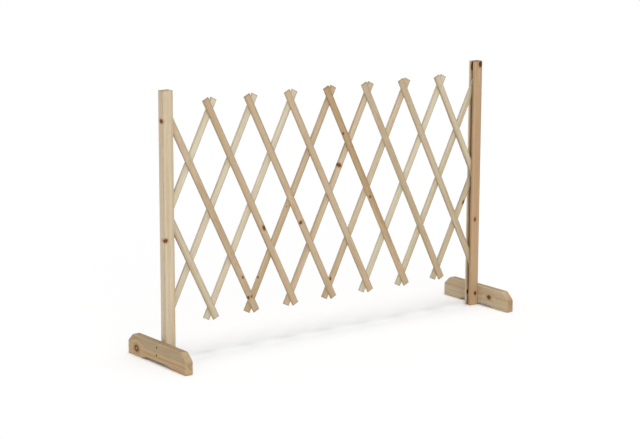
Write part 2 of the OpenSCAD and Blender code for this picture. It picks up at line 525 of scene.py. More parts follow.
@dataclass(frozen=True)
class ZincFinish:
    """Zinc plate on small steel fasteners, with darker stains.

    Attributes:
        name: Name of the material.
        bright: Colour of clean plate.
        dull: Colour of the stains.
        slot: Material slot of the record.
        stain_scale: Stains per metre.
        stain_fade: Share of the stains' colour, by their noise.
        gloss: Roughness, by the stains' noise.
        grit_scale: Grains per metre.
        grit_height: Height of the grains.
    """

    name: str
    bright: Color
    dull: Color
    slot: str = "zinc_steel"
    stain_scale: float = 420
    stain_fade: Fade = Fade(0.4, 0.7)
    gloss: Fade = Fade(0.3, 0.7, 0.38, 0.6)
    grit_scale: float = 3000
    grit_height: float = 0.05 * MM

    @cached_property
    def material(self) -> bpy.types.Material:
        """The finish, made when it is first asked for."""
        material = bpy.data.materials.new(self.name)
        sheet = NodeSheet(material)
        place = sheet.add("ShaderNodeTexCoord").outputs["Object"]
        stains = sheet.noise(place, (self.stain_scale,) * 3, seed=3.0, detail=3)
        grit = sheet.noise(place, (self.grit_scale,) * 3, seed=5.0, detail=2)
        pits = sheet.add("ShaderNodeBump", {"Strength": 0.2, "Distance": self.grit_height, "Height": grit})
        sheet.surface({
            "Base Color": sheet.blend(sheet.fade(stains, self.stain_fade), self.bright, self.dull),
            "Metallic": 1.0,
            "Roughness": sheet.fade(stains, self.gloss),
            "Normal": pits.outputs[0],
        })
        return material


@dataclass(frozen=True)
class FloorFinish:
    """Plain matt white floor."""

    name: str = "floor_white"
    white: Color = (0.84, 0.84, 0.84)
    roughness: float = 0.9

    @cached_property
    def material(self) -> bpy.types.Material:
        """The finish, made when it is first asked for."""
        material = bpy.data.materials.new(self.name)
        NodeSheet(material).surface({"Base Color": (*self.white, 1.0), "Roughness": self.roughness})
        return material


class Blank:
    """A mesh on the bench, with the tools that shape it and mark its rounded edges and sawn ends for the
    finishes.
    """

    FLAT_ANGLE = math.radians(12)
    SHARP_ANGLE = math.radians(60)
    SQUARE = 0.99
    NEAR = 0.01 * MM
    CUT_REACH = 1e-7
    MERGE_REACH = 1e-6
    BORE_CUTS = 3
    RIM_INSET = 0.1
    END_SLANT = 0.35
    END_SPAN = 0.55

    def __init__(self) -> None:
        """Starts an empty mesh."""
        self.bm = bmesh.new()

    @staticmethod
    def pick(parts: Iterable[Any], kind: type) -> list[Any]:
        """Returns the parts of one kind, such as the verts among what an operator made."""
        return [part for part in parts if isinstance(part, kind)]

    def extrude(self, outline: Iterable[Sequence[float]], run: Sequence[float]) -> None:
        """Draws a flat outline and extrudes it into a solid.

        Args:
            outline: Corners of the outline.
            run: How far to extrude along each axis.
        """
        base = self.bm.faces.new([self.bm.verts.new(corner) for corner in outline])
        made = bmesh.ops.extrude_face_region(self.bm, geom=[base])["geom"]
        bmesh.ops.translate(self.bm, vec=run, verts=self.pick(made, BMVert))

    def turn(self, centre: Vector, outline: Outline, steps: int) -> None:
        """Turns a round piece about an axis along Y.

        Args:
            centre: Point on the axis from which the outline is measured.
            outline: Radius and place along the axis of each point.
            steps: Number of faces round the axis.
        """
        verts = [self.bm.verts.new(centre + Vector((radius, along, 0))) for radius, along in outline]
        edges = [self.bm.edges.new(pair) for pair in zip(verts, verts[1:])]
        bmesh.ops.spin(
            self.bm, geom=verts + edges, cent=centre, axis=(0, 1, 0), dvec=(0, 0, 0), angle=2 * math.pi,
            steps=steps, use_merge=True, use_duplicate=False,
        )

    def bevel(self, edges: Iterable[BMEdge], width: float, segments: int) -> None:
        """Rounds edges off.

        Args:
            edges: Edges to round.
            width: How far the rounding reaches into the faces.
            segments: Number of faces round the edge.
        """
        bmesh.ops.bevel(
            self.bm, geom=list(edges), offset=width, offset_type="OFFSET", segments=segments, profile=0.5,
            affect="EDGES", material=-1, clamp_overlap=True,
        )

    def sharp_edges(self) -> list[BMEdge]:
        """Returns the edges whose two faces meet at a sharp angle."""
        shared = [edge for edge in self.bm.edges if len(edge.link_faces) == 2]
        return [edge for edge in shared if edge.calc_face_angle(0.0) > self.SHARP_ANGLE]

    def edges_along(self, axis: int, near: dict[int, float]) -> list[BMEdge]:
        """Finds straight edges by their direction and place.

        Args:
            axis: Axis that the edges run along.
            near: Coordinates that the edges' middles have, by axis.

        Returns:
            The edges.
        """
        found = []
        for edge in self.bm.edges:
            start, end = (vert.co for vert in edge.verts)
            run = end - start
            middle = (start + end) / 2
            straight = all(abs(run[k]) < self.NEAR for k in (X, Y, Z) if k != axis)
            if straight and all(abs(middle[k] - value) < self.NEAR for k, value in near.items()):
                found.append(edge)
        return found

    def cut(self, axis: int, places: Iterable[float]) -> None:
        """Cuts loops into the mesh, square to an axis.

        Args:
            axis: Axis that the cuts are square to.
            places: Where along the axis.
        """
        square = Vector((0, 0, 0))
        square[axis] = 1
        for place in places:
            geom = self.bm.verts[:] + self.bm.edges[:] + self.bm.faces[:]
            bmesh.ops.bisect_plane(
                self.bm, geom=geom, dist=self.CUT_REACH, plane_co=square * place, plane_no=square
            )

    def face_at(self, point: Vector, axis: int) -> BMFace:
        """Finds the face that a point lies on.

        Args:
            point: Point on the face.
            axis: Axis that the face is square to.

        Returns:
            The nearest such face that the point lies in.
        """
        plane = [k for k in (X, Y, Z) if k != axis]
        around = []
        for face in self.bm.faces:
            spans = [[vert.co[k] for vert in face.verts] for k in plane]
            inside = all(min(span) < point[k] < max(span) for k, span in zip(plane, spans))
            if inside and abs(face.normal[axis]) > self.SQUARE:
                around.append(face)
        return min(around, key=lambda face: abs(face.calc_center_median()[axis] - point[axis]))

    def rim(self, centre: Vector, axis: int, radius: float, collar: float = 0.0) -> list[BMEdge]:
        """Cuts a round hole in a four-sided face.

        Args:
            centre: Middle of the hole, on the face.
            axis: Axis of the hole.
            radius: Radius of the hole.
            collar: Width of a ring of faces round the hole, or 0 for none.

        Returns:
            The edges of the hole.
        """
        face = self.face_at(centre, axis)
        outer = radius + collar
        bmesh.ops.inset_individual(self.bm, faces=[face], thickness=self.RIM_INSET * radius, depth=0.0)
        plane = [k for k in (X, Y, Z) if k != axis]
        for vert in face.verts:
            for k in plane:
                vert.co[k] = centre[k] + math.copysign(outer, vert.co[k] - centre[k]) / math.sqrt(2)
        bmesh.ops.subdivide_edges(self.bm, edges=face.edges[:], cuts=self.BORE_CUTS)
        for vert in face.verts:
            spoke = Vector([vert.co[k] - centre[k] for k in plane]).normalized() * outer
            for k, part in zip(plane, spoke):
                vert.co[k] = centre[k] + part
        if collar:
            inset = collar * math.cos(math.pi / len(face.verts))
            bmesh.ops.inset_individual(
                self.bm, faces=[face], thickness=inset, depth=0.0, use_even_offset=True
            )
        edges = face.edges[:]
        bmesh.ops.delete(self.bm, geom=[face], context="FACES_ONLY")
        return edges

    def draw_out(self, ring: Sequence[BMEdge]) -> tuple[list[BMEdge], list[BMVert]]:
        """Extrudes a ring of edges, which the caller then moves.

        Args:
            ring: Edges of the ring.

        Returns:
            The edges and the verts of the new ring.
        """
        made = bmesh.ops.extrude_edge_only(self.bm, edges=ring)["geom"]
        verts = self.pick(made, BMVert)
        edges = [edge for edge in self.pick(made, BMEdge) if all(vert in verts for vert in edge.verts)]
        return edges, verts

    def bore(
        self, ends: Sequence[Vector], axis: int, radius: float, sink: tuple[float, float] = (0, 0),
        collar: float = 0.0,
    ) -> None:
        """Bores a hole from one face to another, countersunk at the first if that is asked for.

        Args:
            ends: Middle of the hole on the first face and on the second.
            axis: Axis of the hole.
            radius: Radius of the hole.
            sink: Radius and depth of the countersink.
            collar: Width of a ring of faces round the hole on the first face, or 0 for none.
        """
        first, second = ends
        head_radius, head_depth = sink
        far = self.rim(second, axis, radius)
        near = self.rim(first, axis, max(radius, head_radius), collar)
        if head_depth:
            near, verts = self.draw_out(near)
            shrink = Vector((1, 1, 1)) * radius / head_radius
            bmesh.ops.scale(self.bm, vec=shrink, space=Matrix.Translation(-first), verts=verts)
            inward = (second - first).normalized() * head_depth
            bmesh.ops.translate(self.bm, vec=inward, verts=verts)
        bmesh.ops.bridge_loops(self.bm, edges=far + near)

    def mark_wear(self, grain: int) -> None:
        """Marks the rounded edges and the sawn ends on the mesh.

        Args:
            grain: Axis that the grain runs along.
        """
        wear = self.bm.verts.layers.float.new(EDGE_WEAR_AND_HIGHLIGHT)
        ends = self.bm.verts.layers.float.new(END_GRAIN)
        self.bm.normal_update()
        for vert in self.bm.verts:
            normals = [face.normal for face in vert.link_faces]
            bend = max(normals[0].angle(normal, 0.0) for normal in normals)
            slant = max(abs(normal[grain]) for normal in normals)
            vert[wear] = 1.0 if bend > self.FLAT_ANGLE else 0.0
            vert[ends] = min(max((slant - self.END_SLANT) / self.END_SPAN, 0.0), 1.0)

    def mirror(self, side: Side) -> None:
        """Flips a piece that was made for the right end, if it belongs at the left."""
        bmesh.ops.scale(self.bm, vec=(side.value, 1, 1), verts=self.bm.verts)

    def finish(self, name: str) -> bpy.types.Object:
        """Closes the mesh and makes it an object at the origin.

        Args:
            name: Name of the object.

        Returns:
            The object, shaded smoothly.
        """
        bmesh.ops.remove_doubles(self.bm, verts=self.bm.verts, dist=self.MERGE_REACH)
        bmesh.ops.recalc_face_normals(self.bm, faces=self.bm.faces)
        for face in self.bm.faces:
            face.smooth = True
        open_edges = sum(not edge.is_manifold for edge in self.bm.edges)
        if open_edges:
            LOG.warning("%s has %d open edges", name, open_edges)
        mesh = bpy.data.meshes.new(name)
        self.bm.to_mesh(mesh)
        self.bm.free()
        piece = bpy.data.objects.new(name, mesh)
        bpy.context.scene.collection.objects.link(piece)
        piece.modifiers.new("even_shading", "WEIGHTED_NORMAL")
        return piece

    def hand_over(self, name: str, node: str, body: str, slot: str, material: bpy.types.Material) -> None:
        """Puts the finished piece in the place of its node and reports how far it departs from that node.

        Args:
            name: Name of the piece.
            node: Node that the piece stands for.
            body: Body that the piece moves with.
            slot: Material slot of the record; not used.
            material: Finish of the piece.
        """
        piece = self.finish(name)
        piece.data.materials.append(material)
        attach(piece, body)
        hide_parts(node)
        corners = [piece.matrix_world @ Vector(corner) for corner in piece.bound_box]
        low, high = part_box(node)
        spans = zip(zip(*corners), low, high)
        off = max(max(abs(min(span) - start), abs(max(span) - end)) for span, start, end in spans)
        faces = len(piece.data.polygons)
        LOG.info("%s: %d faces on body %s, %.2f mm off its node", piece.name, faces, body, off / MM)


@dataclass(frozen=True)
class Pivot:
    """A pivot of a slat: its place in the frame and along the slat, and whether it lies in a post."""

    place: Vector
    along: float
    in_post: bool


@dataclass(frozen=True)
class LatticePlan:
    """Where the pivots of the lattice lie: columns from post to post, rows from the lowest pivots up."""

    bays: int = 8
    rows: int = 4
    pivot_spacing: float = 189 * MM
    open_angle: float = math.radians(26.25)
    pivot_height: float = 501 * MM

    @property
    def mid_row(self) -> int:
        """Row of the pivots in the posts."""
        return self.rows // 2

    def pivot(self, column: float, row: float) -> Vector:
        """Finds a pivot, midway between the layers.

        Args:
            column: Column, from 0 at the left post.
            row: Row, from 0 at the lowest pivots.

        Returns:
            The place.
        """
        across = 2 * self.pivot_spacing * math.sin(self.open_angle)
        up = self.pivot_spacing * math.cos(self.open_angle)
        return Vector(((column - self.bays / 2) * across, 0, self.pivot_height + (row - self.mid_row) * up))

    def pivots(self, number: int, layer: Layer) -> list[Pivot]:
        """Lists the pivots of a slat from the lowest up.

        Args:
            number: Number of the slat, from 1 at the left.
            layer: Layer of the slat.

        Returns:
            The pivots.
        """
        found = []
        for row in range(self.rows + 1):
            rise = row - self.mid_row
            column = number - 1 + layer.value * rise / 2
            if 0 <= column <= self.bays:
                in_post = column in (0, self.bays)
                found.append(Pivot(self.pivot(column, row), rise * self.pivot_spacing, in_post))
        return found


@dataclass
class Slat:
    """One slat of the lattice."""

    plan: LatticePlan
    layer: Layer
    number: int
    pine: PineFinish
    knots: tuple[Knot, ...] = ()
    taper: float = 0.0
    width: float = 25 * MM
    thickness: float = 6 * MM
    layer_gap: float = 0.3 * MM
    ease: float = 0.8 * MM
    ease_steps: int = 3
    tip_length: float = 42 * MM
    tip_cut: float = 1 * MM
    post_end_cut: float = 7.5 * MM
    end_steps: int = 2
    rivet_bore: float = 1.56 * MM
    pin_bore: float = 2.56 * MM
    edge_band: float = 5 * MM
    bore_patch: float = 8 * MM
    core_span: tuple[float, float] = (25, 80)
    heart_span: tuple[float, float] = (-8, 8)
    back_seed: int = 100
    seed_step: int = 7

    @property
    def name(self) -> str:
        """Name of the slat's node and body."""
        return f"{self.layer.word}_slat_{self.number}"

    @property
    def board(self) -> Board:
        """The slat as a board, with the log's core somewhere round it and the heart's edge near it."""
        draw = random.Random(self.name)
        bearing = draw.uniform(0, 2 * math.pi)
        distance = draw.uniform(*self.core_span) * MM
        centre = self.plan.pivot(self.number - 1, self.plan.mid_row)
        centre.y = self.layer.value * (self.layer_gap + self.thickness) / 2
        return Board(
            centre=centre,
            turn=Euler((0, self.layer.value * self.plan.open_angle, 0)),
            pith=(distance * math.cos(bearing), distance * math.sin(bearing)),
            heart=distance + draw.uniform(*self.heart_span) * MM,
            seed=self.number * self.seed_step + (self.layer is Layer.BACK) * self.back_seed,
            taper=self.taper,
        )

    def ends(self) -> Outline:
        """Finds the two ends.

        Returns:
            Place of each end along the slat, and the cut of its corners.
        """
        pivots = self.plan.pivots(self.number, self.layer)
        found = []
        for pivot, way in ((pivots[0], -1), (pivots[-1], 1)):
            reach = self.width / 2 if pivot.in_post else self.tip_length
            found.append((pivot.along + way * reach, self.post_end_cut if pivot.in_post else self.tip_cut))
        return found

    def build(self) -> Blank:
        """Saws, eases and bores the slat.

        Returns:
            The slat.
        """
        (low, _), (high, _) = self.ends()
        blank = Blank()
        bm = blank.bm
        bmesh.ops.create_cube(bm, size=1)
        bmesh.ops.scale(bm, vec=(self.width, self.thickness, high - low), verts=bm.verts)
        bmesh.ops.translate(bm, vec=(0, 0, (low + high) / 2), verts=bm.verts)
        for place, corner_cut in self.ends():
            blank.bevel(blank.edges_along(Y, {Z: place}), corner_cut, self.end_steps)
        blank.bevel(blank.sharp_edges(), self.ease, self.ease_steps)
        side = self.width / 2 - self.ease - self.edge_band
        face = self.thickness / 4
        blank.cut(X, (-side, side))
        blank.cut(Y, (-face, face))
        blank.cut(Z, (low + self.ease + self.edge_band, high - self.ease - self.edge_band))
        blank.mark_wear(Z)
        self.bore_pivots(blank)
        board = self.board
        seat = Matrix.Translation(board.centre) @ board.turn.to_matrix().to_4x4()
        bmesh.ops.transform(bm, matrix=seat, verts=bm.verts)
        return blank

    def bore_pivots(self, blank: Blank) -> None:
        """Bores the slat for its rivets and, at the middle of a half slat, for the post's pin.

        Args:
            blank: The slat, on the board's axes.
        """
        for pivot in self.plan.pivots(self.number, self.layer):
            if pivot.in_post and pivot.along:
                continue
            blank.cut(Z, (pivot.along - self.bore_patch, pivot.along + self.bore_patch))
            ends = [Vector((0, way * self.thickness / 2, pivot.along)) for way in (-1, 1)]
            blank.bore(ends, Y, self.pin_bore if pivot.in_post else self.rivet_bore)

    def make(self) -> None:
        """Builds the slat and dresses it in its pine."""
        material = self.pine.material(f"{self.name}_{self.pine.slot}", self.board, self.knots)
        self.build().hand_over(f"{self.name}_board", self.name, self.name, self.pine.slot, material)


@dataclass
class SlatRivets:
    """The rivets along one front slat, with a low domed head at each end."""

    plan: LatticePlan
    number: int
    zinc: ZincFinish
    shank_radius: float = 1.5 * MM
    head_radius: float = 2.5 * MM
    head_height: float = 0.8 * MM
    rim_share: float = 0.2
    front: float = -6.15 * MM
    back: float = 6.3 * MM
    steps: int = 20
    dome_points: int = 5

    def outline(self) -> Outline:
        """Draws the rivet from the front to the back.

        Returns:
            Radius and place along the rivet of each point.
        """
        rim = self.rim_share * self.head_height
        dome = []
        for k in range(self.dome_points + 1):
            angle = math.pi / 2 * k / self.dome_points
            height = rim + (self.head_height - rim) * math.cos(angle)
            dome.append((self.head_radius * math.sin(angle), height))
        front = [(radius, self.front - height) for radius, height in dome]
        back = [(radius, self.back + height) for radius, height in reversed(dome)]
        seat = [(self.head_radius, self.front), (self.shank_radius, self.front)]
        clinch = [(self.shank_radius, self.back), (self.head_radius, self.back)]
        return front + seat + clinch + back

    def make(self) -> None:
        """Turns the rivets and dresses them in zinc plate."""
        body = f"front_slat_{self.number}"
        blank = Blank()
        for pivot in self.plan.pivots(self.number, Layer.FRONT):
            if not pivot.in_post:
                blank.turn(pivot.place, self.outline(), self.steps)
        blank.hand_over(f"{body}_rivet_row", f"{body}_rivets", body, self.zinc.slot, self.zinc.material)


@dataclass
class Post:
    """Grooved upright at one end of the panel."""

    side: Side
    plan: LatticePlan
    pine: PineFinish
    knots: tuple[Knot, ...] = ()
    pith: tuple[float, float] = (40 * MM, -20 * MM)
    heart: float = 63.5 * MM
    seed: int = 300
    height: float = 920 * MM
    width: float = 40 * MM
    depth: float = 28 * MM
    pivot_depth: float = 15 * MM
    groove_width: float = 15.2 * MM
    groove_depth: float = 29.463 * MM
    ease: float = 1.5 * MM
    ease_steps: int = 3
    groove_ease: float = 0.5 * MM
    rim_ease: float = 0.9 * MM
    rim_steps: int = 2
    edge_band: float = 2.5 * MM
    pin_bore: float = 2.52 * MM
    bore_patch: float = 8 * MM

    @property
    def inner_x(self) -> float:
        """Distance of the inner face from the middle of the panel."""
        return self.plan.pivot(self.plan.bays, 0).x - self.pivot_depth

    @property
    def board(self) -> Board:
        """The post as a board."""
        centre = Vector((self.side.value * (self.inner_x + self.width / 2), 0, self.height / 2))
        return Board(centre, Euler((0, 0, 0)), self.pith, self.heart, self.seed + self.side.value)

    def build(self) -> Blank:
        """Extrudes the U section, eases its edges and bores the back wall for the pivot pin.

        Returns:
            The post.
        """
        front, wall = self.depth / 2, self.groove_width / 2
        section = [
            (0, -front), (self.width, -front), (self.width, front), (0, front),
            (0, wall), (self.groove_depth, wall), (self.groove_depth, -wall), (0, -wall),
        ]
        blank = Blank()
        blank.extrude([(x, y, 0) for x, y in section], (0, 0, self.height))
        outer = [(x, y) for x in (0, self.width) for y in (-front, front)]
        mouth = [(0, -wall), (0, wall)]
        for corners, reach, steps in (
            (outer, self.ease, self.ease_steps), (mouth, self.groove_ease, self.rim_steps)
        ):
            edges = [edge for x, y in corners for edge in blank.edges_along(Z, {X: x, Y: y})]
            blank.bevel(edges, reach, steps)
        rims = [edge for edge in blank.sharp_edges()
                if abs(edge.verts[0].co.z - edge.verts[1].co.z) < Blank.NEAR]
        blank.bevel(rims, self.rim_ease, self.rim_steps)
        band = self.ease + self.edge_band
        pin_z = self.plan.pivot_height
        blank.cut(X, (band, self.width - band))
        blank.cut(Y, (-front + band, front - band))
        blank.cut(Z, (band, self.height - band, pin_z - self.bore_patch, pin_z + self.bore_patch))
        blank.mark_wear(Z)
        blank.bore([Vector((self.pivot_depth, y, pin_z)) for y in (front, wall)], Y, self.pin_bore)
        bmesh.ops.translate(blank.bm, vec=(self.inner_x, 0, 0), verts=blank.bm.verts)
        blank.mirror(self.side)
        return blank

    def make(self) -> None:
        """Builds the post and dresses it in its pine."""
        node, slot = f"{self.side.word}_post", self.pine.slot
        material = self.pine.material(f"{node}_{slot}", self.board, self.knots)
        self.build().hand_over(f"{node}_board", node, f"{self.side.word}_stand", slot, material)


@dataclass
class Foot:
    """Foot board on the outer side of a post, with sloping ends and an arch between two pads."""

    side: Side
    inner_x: float
    pine: PineFinish
    knots: tuple[Knot, ...] = ()
    pith: tuple[float, float] = (37.5 * MM, -25 * MM)
    heart: float = 57 * MM
    seed: int = 400
    length: float = 360 * MM
    height: float = 73 * MM
    thickness: float = 28 * MM
    slope_length: float = 30 * MM
    slope_drop: float = 27 * MM
    slope_round: float = 12 * MM
    heel_round: float = 4 * MM
    round_steps: int = 6
    pad_length: float = 75 * MM
    arch_height: float = 9 * MM
    arch_ramp: float = 50 * MM
    ramp_steps: int = 10
    ease: float = 3 * MM
    ease_steps: int = 4
    edge_band: float = 0.8 * MM
    screw_heights: tuple[float, float] = (30 * MM, 57 * MM)
    screw_radius: float = 2.27 * MM
    head_radius: float = 4.6 * MM
    head_depth: float = 2.4 * MM
    fresh_ring: float = 3 * MM
    fresh_reach: float = 1.1
    level: float = 0.98
    bore_patch: float = 9 * MM

    @property
    def board(self) -> Board:
        """The foot as a board: across is its thickness, through is downwards and along is to the back."""
        centre = Vector((self.side.value * (self.inner_x + self.thickness / 2), 0, self.height / 2))
        turn = Euler((-math.pi / 2, 0, 0))
        return Board(centre, turn, self.pith, self.heart, self.seed + self.side.value)

    def outline(self) -> Outline:
        """Draws the side view, with the points of the arch, from back to front.

        Returns:
            The corners, along the foot and up.
        """
        end = self.length / 2
        ramp = []
        for k in range(self.ramp_steps + 1):
            share = k / self.ramp_steps
            along = end - self.pad_length - self.arch_ramp * (1 - share)
            ramp.append((along, self.arch_height * (1 + math.cos(math.pi * share)) / 2))
        shoulder = [(end, 0), (end, self.height - self.slope_drop), (end - self.slope_length, self.height)]
        half = ramp + shoulder
        return half + [(-y, z) for y, z in reversed(half)]

    def round_corners(self, blank: Blank) -> None:
        """Rounds the heels and both ends of the slopes.

        Args:
            blank: The foot, with its thickness along X.
        """
        lean = math.atan2(self.slope_length, self.slope_drop)
        end = self.length / 2
        corners = (
            (end, 0, self.heel_round),
            (end, self.height - self.slope_drop, self.slope_round * math.tan(lean / 2)),
            (end - self.slope_length, self.height, self.slope_round * math.tan(math.pi / 4 - lean / 2)),
        )
        for y, z, reach in corners:
            for way in (-1, 1):
                blank.bevel(blank.edges_along(X, {Y: way * y, Z: z}), reach, self.round_steps)

    def build(self) -> Blank:
        """Extrudes the side view, rounds it and sinks the screw holes.

        Returns:
            The foot.
        """
        blank = Blank()
        bm = blank.bm
        blank.extrude([(0, y, z) for y, z in self.outline()], (self.thickness, 0, 0))
        self.round_corners(blank)
        blank.bevel(blank.sharp_edges(), self.ease, self.ease_steps)
        sides = [face for face in bm.faces if abs(face.normal.x) > Blank.SQUARE]
        bmesh.ops.inset_individual(bm, faces=sides, thickness=self.edge_band, depth=0.0, use_even_offset=True)
        band = self.ease + self.edge_band
        blank.cut(X, (band, self.thickness - band))
        blank.cut(Y, (-self.bore_patch, self.bore_patch))
        blank.cut(Z, (sum(self.screw_heights) / 2,))
        blank.mark_wear(Y)
        for z in self.screw_heights:
            ends = [Vector((x, 0, z)) for x in (self.thickness, 0)]
            blank.bore(ends, X, self.screw_radius, (self.head_radius, self.head_depth), self.fresh_ring)
        self.mark_faces(bm)
        bmesh.ops.translate(bm, vec=(self.inner_x, 0, 0), verts=bm.verts)
        blank.mirror(self.side)
        return blank

    def mark_faces(self, bm: BMesh) -> None:
        """Marks the freshly cut wood round the screw heads, and the level top, which gets painted shade.

        Args:
            bm: Mesh of the foot, with its holes.
        """
        fresh = bm.verts.layers.float.new(FRESH_CUT)
        shaded_top = bm.verts.layers.float.new(TOP_SHADE)
        bm.normal_update()
        for vert in bm.verts:
            reach = min(math.hypot(vert.co.y, vert.co.z - z) for z in self.screw_heights)
            vert[fresh] = float(reach < self.fresh_reach * self.head_radius)
            # The level top is marked for painted shade.
            vert[shaded_top] = float(max(face.normal.z for face in vert.link_faces) > self.level)

    def make(self) -> None:
        """Builds the foot and dresses it in its pine."""
        node, slot = f"{self.side.word}_foot", self.pine.slot
        material = self.pine.material(f"{node}_{slot}", self.board, self.knots)
        self.build().hand_over(f"{node}_board", node, f"{self.side.word}_stand", slot, material)


@dataclass
class FootScrews:
    """The two countersunk screws of a foot, with a cross recess."""

    side: Side
    foot: Foot
    zinc: ZincFinish
    head_radius: float = 4.5 * MM
    head_height: float = 2.25 * MM
    rim_ease: float = 0.25 * MM
    rim_height: float = 0.2 * MM
    shank_radius: float = 2.25 * MM
    length: float = 37.537 * MM
    tip_length: float = 4.5 * MM
    tip_share: float = 0.15
    recess_reach: float = 2.5 * MM
    recess_width: float = 1.0 * MM
    recess_depth: float = 1.6 * MM
    recess_taper: float = 0.6
    recess_cells: int = 3

    def build(self) -> Blank:
        """Forms one screw, a disc with a cross pressed into it and drawn out to the tip, and copies it.

        Returns:
            The two screws.
        """
        blank = Blank()
        bm = blank.bm
        cells = self.recess_cells
        bmesh.ops.create_grid(bm, x_segments=cells, y_segments=cells, size=self.recess_reach)
        for vert in bm.verts:
            for k in (X, Y):
                if abs(abs(vert.co[k]) - self.recess_reach / cells) < Blank.NEAR:
                    vert.co[k] = math.copysign(self.recess_width / 2, vert.co[k])
        cross = [face for face in bm.faces if min(map(abs, face.calc_center_median()[:2])) < Blank.NEAR]
        floor = blank.pick(bmesh.ops.extrude_face_region(bm, geom=cross)["geom"], BMVert)
        bmesh.ops.translate(bm, vec=(0, 0, -self.recess_depth), verts=floor)
        bmesh.ops.scale(bm, vec=(self.recess_taper, self.recess_taper, 1), verts=floor)
        bmesh.ops.delete(bm, geom=[face for face in cross if face.is_valid], context="FACES")
        rim = [edge for edge in bm.edges if edge.is_boundary]
        for radius, depth in self.outline():
            rim, verts = blank.draw_out(rim)
            for vert in verts:
                spoke = vert.co.xy.normalized() * radius
                vert.co = (spoke.x, spoke.y, -depth)
        bmesh.ops.contextual_create(bm, geom=rim)
        bmesh.ops.recalc_face_normals(bm, faces=bm.faces)
        low, high = self.foot.screw_heights
        seat = Matrix.Translation((self.foot.inner_x + self.foot.thickness, 0, low))
        bmesh.ops.transform(bm, matrix=seat @ Matrix.Rotation(math.pi / 2, 4, "Y"), verts=bm.verts)
        copied = bmesh.ops.duplicate(bm, geom=bm.verts[:] + bm.edges[:] + bm.faces[:])["geom"]
        bmesh.ops.translate(bm, vec=(0, 0, high - low), verts=blank.pick(copied, BMVert))
        blank.mirror(self.side)
        return blank

    def outline(self) -> Outline:
        """Returns radius and depth of each ring of the screw, from the head's rim to the tip."""
        return [
            (self.head_radius - self.rim_ease, 0.0),
            (self.head_radius, self.rim_height),
            (self.shank_radius, self.head_height),
            (self.shank_radius, self.length - self.tip_length),
            (self.tip_share * self.shank_radius, self.length),
        ]

    def make(self) -> None:
        """Forms both screws and dresses them in zinc plate."""
        node, body = f"{self.side.word}_foot_screw", f"{self.side.word}_stand"
        self.build().hand_over(f"{node}_pair", f"{node}s", body, self.zinc.slot, self.zinc.material)


@dataclass
class PivotPin:
    """Pin that the two half slats turn on inside a post."""

    side: Side
    plan: LatticePlan
    zinc: ZincFinish
    radius: float = 2.5 * MM
    front: float = -11.6 * MM
    back: float = 14 * MM
    chamfer: float = 0.5 * MM
    steps: int = 28

    def make(self) -> None:
        """Turns the pin and dresses it in zinc plate."""
        flat = self.radius - self.chamfer
        outline = [
            (0, self.front), (flat, self.front), (self.radius, self.front + self.chamfer),
            (self.radius, self.back - self.chamfer), (flat, self.back), (0, self.back),
        ]
        column = self.plan.bays if self.side is Side.RIGHT else 0
        blank = Blank()
        blank.turn(self.plan.pivot(column, self.plan.mid_row), outline, self.steps)
        node, body = f"{self.side.word}_pivot_pin", f"{self.side.word}_stand"
        blank.hand_over(f"{node}_turned", node, body, self.zinc.slot, self.zinc.material)


@dataclass
class Stand:
    """A post with its foot, screws and pivot pin."""

    side: Side
    plan: LatticePlan
    zinc: ZincFinish
    post_pine: PineFinish
    foot_pine: PineFinish
    post_knots: tuple[Knot, ...]
    foot_knots: tuple[Knot, ...]

    def make(self) -> None:
        """Makes the pieces of the stand."""
        post = Post(self.side, self.plan, self.post_pine, self.post_knots)
        foot = Foot(self.side, post.inner_x + post.width, self.foot_pine, self.foot_knots)
        post.make()
        foot.make()
        FootScrews(self.side, foot, self.zinc).make()
        PivotPin(self.side, self.plan, self.zinc).make()


class SlatTone(Enum):
    """Pine of the slats, from the palest to the warmest, as sapwood and heartwood."""

    CHALK = ((0.73, 0.68, 0.535), (0.67, 0.61, 0.46))
    IVORY = ((0.685, 0.615, 0.475), (0.63, 0.55, 0.41))
    CREAM = ((0.65, 0.594, 0.454), (0.58, 0.50, 0.352))
    ASH = ((0.59, 0.515, 0.375), (0.52, 0.43, 0.285))
    STRAW = ((0.59, 0.485, 0.34), (0.52, 0.405, 0.26))
    WHEAT = ((0.545, 0.455, 0.318), (0.50, 0.40, 0.255))
    HONEY = ((0.54, 0.425, 0.28), (0.50, 0.375, 0.225))
    TAN = ((0.53, 0.40, 0.25), (0.46, 0.33, 0.18))


